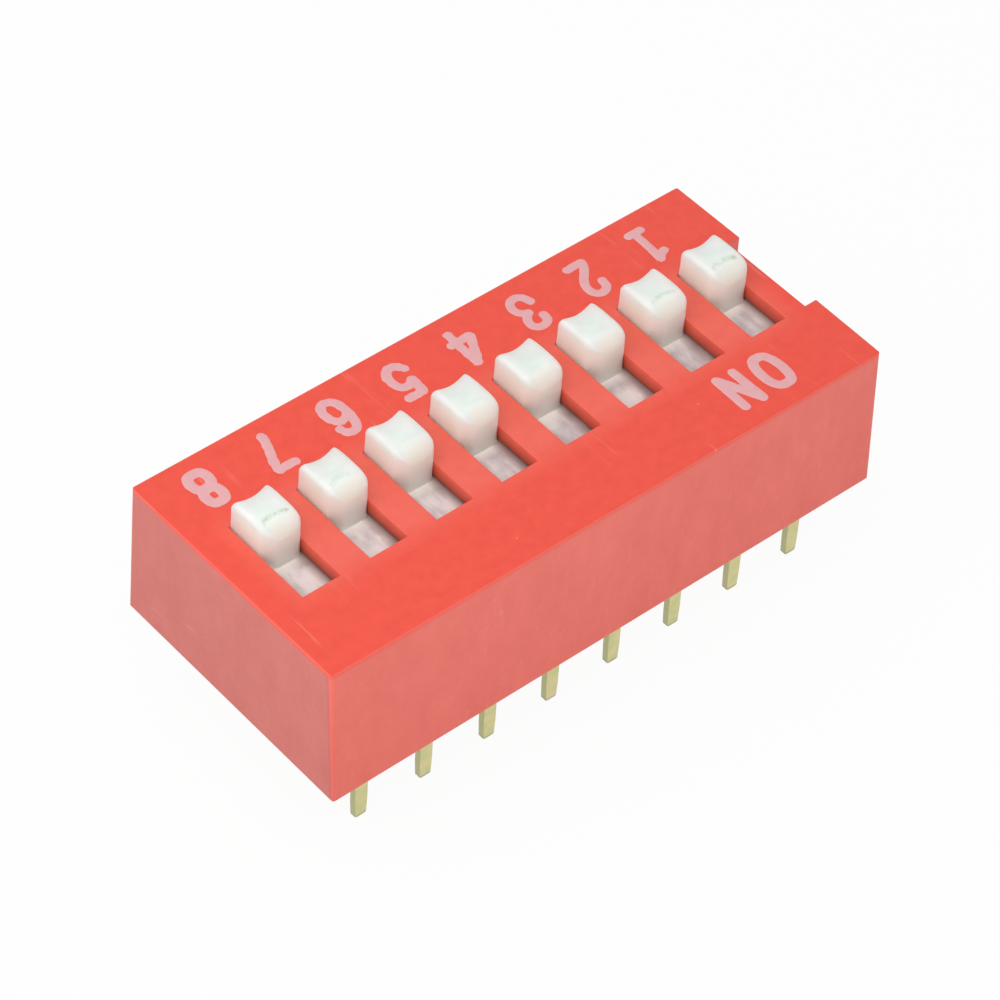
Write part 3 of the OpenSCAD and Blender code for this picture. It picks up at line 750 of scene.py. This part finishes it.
# %% Shape the first knob
bpy.ops.object.select_all(action="DESELECT")
bpy.ops.mesh.primitive_cube_add(size=2, location=(0, 0, 0))
knob = bpy.context.object
knob.name = "knob_cage"
bpy.ops.object.mode_set(mode="EDIT")
bpy.ops.mesh.subdivide(number_cuts=last - 1)
bpy.ops.object.mode_set(mode="OBJECT")
for vertex in knob.data.vertices:
    column, row, level = (round((c + 1) / 2 * last) for c in vertex.co)
    x, y, z = across[column], along[row], upward[level]
    if z > wall_z:
        z += crown[row][column] * (z - wall_z) / (upward[last] - wall_z)
    if row == last:                                 # one round edge, then the crease and the slant
        x, y = on_side[column]
    elif column == last and row in slant:
        x, y = slant[row]
    if row == last and level < 2:                   # the foot spreads a little on to the plate
        y += 0.04
    elif row == last and level < 4:                 # and above it the front leans back
        y -= 0.03 + 0.008 * column
    if row < 2 and level < 5 and column in (0, last):    # at the slot the back corners are square
        y = -0.873 if row == 0 else -0.86
    vertex.co = Vector((x * MM, y * MM, top_z + z * MM))
smooth = knob.modifiers.new("smooth_cage", "SUBSURF")
smooth.levels = smooth.render_levels = 2
only(knob)
bpy.ops.object.modifier_apply(modifier="smooth_cage")
print("knob top at", round(max(v.co.z for v in knob.data.vertices) / MM, 2), "mm")

# %% [markdown]
# ## One moulding, from the knob down to the spring
#
# Knob and slider are one moulding. The part below the roof keeps its CAD shape, because the
# spring sits in it: a copy of the CAD actuator is cut off just above its plate. The knob could
# simply stand on it, but then a seam would show through the soft white. So a Boolean joins the
# two. The other seven are copies, each moved along the row by its own CAD place.

# %% Join the knob to the slider below the roof
plate_top_z = top_z - 0.59 * MM
slider = copy_of("actuator_1", "slider_1_moulding")
bpy.ops.object.mode_set(mode="EDIT")
bpy.ops.mesh.select_all(action="SELECT")
bpy.ops.mesh.bisect(plane_co=(0, 0, plate_top_z + 0.001 * MM), plane_no=(0, 0, 1), use_fill=True,
                    clear_outer=True, threshold=0.0001 * MM)
bpy.ops.object.mode_set(mode="OBJECT")
place = middle_of("actuator_1")
for vertex in knob.data.vertices:
    vertex.co += Vector((place.x, place.y, 0))
union = slider.modifiers.new("one_moulding", "BOOLEAN")
union.operation = "UNION"
union.solver = "EXACT"
union.object = knob
only(slider)
bpy.ops.object.modifier_apply(modifier="one_moulding")
bpy.data.objects.remove(knob)
bpy.ops.object.shade_smooth_by_angle(angle=math.radians(35))
print("slider moulding:", len(slider.data.polygons), "faces")

# %% Copy it to every switch
for i in switches:
    step = middle_of(f"actuator_{i}").x - place.x
    piece = slider if i == 1 else moved_copy(slider, f"slider_{i}_moulding", step)
    standing_for(piece, f"actuator_{i}", f"slider_{i}", white_nylon)
    piece.data.materials.append(rubbed_shaded_nylon)
    for face in piece.data.polygons:
        face.material_index = int(face.center.z < plate_top_z + 0.01 * MM)
print(len(switches), "sliders, each with a rubbed plate below its knob")

# %% [markdown]
# ## The terminals
#
# A stamped and plated pin has no sharp edge: the press rolls one side over, and tumbling before
# plating takes the burr off the other. So the copies of the terminals get a narrow round along
# every edge. Their points are also blunter than a plain taper: the pin keeps its width longer
# and ends in a small flat. Bisecting the copy just above the point gives a ring of vertices
# there, and those below it are moved outwards. There are only two shapes, one for each side of
# the case, so each is softened once and copied along its row.

# %% Soften the terminals
half = len(pins) // 2
cut_height = 0.7 * MM                           # the ring of new vertices, above the tip
point_height = 0.8 * MM
point_width = 1.22                              # times the CAD taper
tip_height = 0.12 * MM
tip_half_width = 0.22 * MM
blunting = 0.35                                 # how far the tip's corners go towards that width
for first in (1, 1 + half):
    model = copy_of(f"terminal_{first}", f"terminal_{first}_strip")
    pin_x = middle_of(f"terminal_{first}").x
    bpy.ops.object.mode_set(mode="EDIT")
    bpy.ops.mesh.select_all(action="SELECT")
    bpy.ops.mesh.bisect(plane_co=(0, 0, pin_tip_z + cut_height), plane_no=(0, 0, 1),
                        threshold=0.0001 * MM)
    bpy.ops.object.mode_set(mode="OBJECT")
    for vertex in model.data.vertices:
        out, up = vertex.co.x - pin_x, vertex.co.z - pin_tip_z
        if up < point_height:
            vertex.co.x = pin_x + out * point_width
        if up < tip_height:
            vertex.co.x += math.copysign(blunting * (tip_half_width - abs(out) * point_width), out)
            vertex.co.z -= blunting * up
    soften(model, 0.04 * MM, steps=3)
    for i in range(first, first + half):
        step = middle_of(f"terminal_{i}").x - pin_x
        piece = model if i == first else moved_copy(model, f"terminal_{i}_strip", step)
        standing_for(piece, f"terminal_{i}", "housing", gold_flash)
        piece.data.materials.append(cut_bronze)
        for face in piece.data.polygons:
            face.material_index = int(abs(face.normal.x) > 0.7)
    print("terminal strip:", len(model.data.polygons), "faces")

# %% [markdown]
# ## The printed marks
#
# The numbers and the word ON are pad printed: a soft rubber pad picks up white ink and presses
# it on the red face. The film is so thin that the red shines through and turns it pink, and
# its edge is not quite clean. Blender's own text object would give a sharp typeface. Here each
# mark is drawn as pen strokes instead: a tube follows the stroke, a ball closes each end, and
# the whole mark is pressed nearly flat. A little noise then moves the edge in and out.

# %% Draw a pen stroke
def rounded(points, closed):
    """Cuts the corners of a path three times over. An open path keeps its two ends."""
    path = [Vector(p) for p in points]
    for _ in range(3):
        pairs = list(zip(path, path[1:] + path[:1])) if closed else list(zip(path, path[1:]))
        cut = [p for a, b in pairs for p in (a * 0.75 + b * 0.25, a * 0.25 + b * 0.75)]
        path = cut if closed else [path[0]] + cut + [path[-1]]
    return path


def pen_stroke(points, width, closed):
    """One stroke of ink in millimetres, as a round tube with a ball at each open end."""
    line = rounded(points, closed)
    curve = bpy.data.curves.new("stroke", "CURVE")
    curve.dimensions = "3D"
    curve.bevel_depth = width / 2
    curve.bevel_resolution = 3
    curve.use_fill_caps = True
    spline = curve.splines.new("POLY")
    spline.points.add(len(line) - 1)
    for point, at in zip(spline.points, line):
        point.co = (at.x, at.y, 0, 1)
    spline.use_cyclic_u = closed
    stroke = bpy.data.objects.new("stroke", curve)
    bpy.context.scene.collection.objects.link(stroke)
    only(stroke)
    bpy.ops.object.convert(target="MESH")
    made = [bpy.context.object]
    for end in [] if closed else (line[0], line[-1]):
        bpy.ops.object.select_all(action="DESELECT")
        bpy.ops.mesh.primitive_uv_sphere_add(segments=20, ring_count=10, radius=width / 2,
                                             location=(end.x, end.y, 0))
        made.append(bpy.context.object)
    return made


print("strokes are drawn in millimetres, and scaled when they are printed")

# %% [markdown]
# ## Where the strokes run
#
# Every mark is listed with the width of its pen, with how ragged its edge is, and with its
# strokes on the top face. A stencil cut from a typeface would be quicker, but these figures are
# a little uneven, and no two of them sit quite alike.

# %% The strokes of the numbers and the word ON
marks = {
    "8": (0.36, 0.4, [
        [(9.13, -2.69), (9.34, -2.70), (9.44, -3.00), (9.35, -3.30), (9.13, -3.33), (8.92, -3.30),
         (8.83, -3.00), (8.93, -2.70)],
        [(9.14, -3.37), (9.39, -3.39), (9.49, -3.72), (9.39, -4.04), (9.14, -4.07), (8.90, -4.04),
         (8.80, -3.72), (8.90, -3.39)]]),
    "7": (0.33, 1.0, [
        [(6.37, -2.63), (6.97, -2.63), (6.97, -2.64), (6.92, -2.95), (6.70, -3.45), (6.56, -3.85),
         (6.54, -4.05)]]),
    "6": (0.32, 1.0, [
        [(4.46, -2.84), (4.38, -2.60), (4.18, -2.54), (3.98, -2.60), (3.84, -2.90), (3.80, -3.40),
         (3.86, -3.85), (4.08, -4.02), (4.34, -3.98), (4.48, -3.72), (4.46, -3.35), (4.30, -3.12),
         (4.10, -3.10), (3.92, -3.22)]]),
    "5": (0.33, 1.0, [
        [(1.96, -2.59), (1.40, -2.59), (1.40, -2.60), (1.38, -3.18)],
        [(1.38, -3.16), (1.60, -3.02), (1.88, -3.08), (1.99, -3.42), (1.94, -3.80), (1.68, -4.00),
         (1.40, -3.92), (1.28, -3.70)]]),
    "4": (0.32, 1.0, [
        [(-0.72, -2.54), (-1.27, -3.54), (-1.25, -3.60), (-0.52, -3.57)],
        [(-0.70, -2.54), (-0.69, -3.30), (-0.71, -4.00)]]),
    "3": (0.31, 0.4, [
        [(-3.67, -2.90), (-3.66, -2.66), (-3.48, -2.53), (-3.22, -2.53), (-3.06, -2.70),
         (-3.08, -2.98), (-3.24, -3.17), (-3.36, -3.24)],
        [(-3.34, -3.24), (-3.14, -3.34), (-3.03, -3.58), (-3.08, -3.84), (-3.26, -3.99),
         (-3.48, -3.99), (-3.66, -3.86), (-3.73, -3.60)]]),
    "2": (0.31, 0.4, [
        [(-6.14, -2.94), (-6.10, -2.66), (-5.88, -2.51), (-5.62, -2.56), (-5.50, -2.80),
         (-5.56, -3.14), (-5.84, -3.48), (-6.08, -3.72), (-6.16, -3.97), (-6.14, -3.97),
         (-5.55, -3.96)]]),
    "1": (0.31, 0.4, [
        [(-8.61, -2.80), (-8.42, -2.74), (-8.25, -2.54), (-8.27, -2.60), (-8.33, -3.20),
         (-8.33, -3.94)],
        [(-8.62, -3.96), (-8.12, -3.95)]]),
    "O": (0.35, 0.4, [
        [(-7.70, 3.96), (-7.45, 3.94), (-7.28, 3.62), (-7.26, 3.24), (-7.32, 2.84), (-7.45, 2.60),
         (-7.62, 2.58), (-7.87, 2.62), (-8.00, 2.92), (-8.05, 3.30), (-8.01, 3.70),
         (-7.90, 3.94)]]),
    "N": (0.33, 0.4, [
        [(-6.64, 2.60), (-6.67, 3.95)],
        [(-6.66, 3.97), (-6.02, 2.60)],
        [(-5.98, 2.58), (-5.97, 3.94)]]),
}
print(len(marks), "marks,", sum(len(strokes) for _, _, strokes in marks.values()), "strokes")

# %% [markdown]
# ## White pad-printing ink
#
# The ink is a white epoxy film only about a hundredth of a millimetre thick. It is more matt
# than the plastic, and the red shines through it unevenly, so its colour is a pale pink that
# drifts over a quarter of a millimetre. A white film that is half clear would do the same, but
# it would cost more light paths and look no different.

# %% White ink
white_ink, tree, shader, where = start_material("pad_printed_white_ink")
film = add_node(tree, "ShaderNodeTexNoise", {"Scale": every(0.25), "Detail": 3.0},
                {"Vector": where})
inks = drift_between(tree, film.outputs["Fac"], "#DC9CA0", "#E6B2B4", start=0.0, end=1.0)
tree.links.new(inks.outputs[2], shader.inputs["Base Color"])
give_skin(tree, shader, film, 0.50, 0.62)
print("ink: tones drift over 0.25 mm")

# %% Print the marks on the cover
ink_height = 0.012 * MM                         # above the face
voxel = 0.025                                   # in millimetres, as the strokes still are
ragged_every = 0.16                             # size of the unevenness along an edge, in mm
ragged_by = 0.03                                # and how far it moves the edge
noise.seed_set(8)                               # Blender would take a new seed from the clock
for mark, (width, rough, strokes) in marks.items():
    parts = [part for points in strokes for part in pen_stroke(points, width, mark in "8O")]
    bpy.ops.object.select_all(action="DESELECT")
    for part in parts:
        part.select_set(True)
    bpy.context.view_layer.objects.active = parts[0]
    if len(parts) > 1:
        bpy.ops.object.join()
    print_piece = bpy.context.object
    print_piece.name = f"print_{mark}"
    bpy.ops.object.transform_apply(location=True, rotation=True, scale=True)
    print_piece.data.remesh_voxel_size = voxel
    bpy.ops.object.voxel_remesh()
    for vertex in print_piece.data.vertices:
        shift = noise.noise_vector(vertex.co / ragged_every) * ragged_by * rough
        flat = ink_height / (width / 2)
        vertex.co = ((vertex.co.x + shift.x) * MM, (vertex.co.y + shift.y) * MM,
                     top_z + vertex.co.z * flat)
    bpy.ops.object.shade_smooth()
    finish_with(print_piece, white_ink)
    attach(print_piece, "housing")
    print("mark", mark, "has", len(print_piece.data.polygons), "faces")
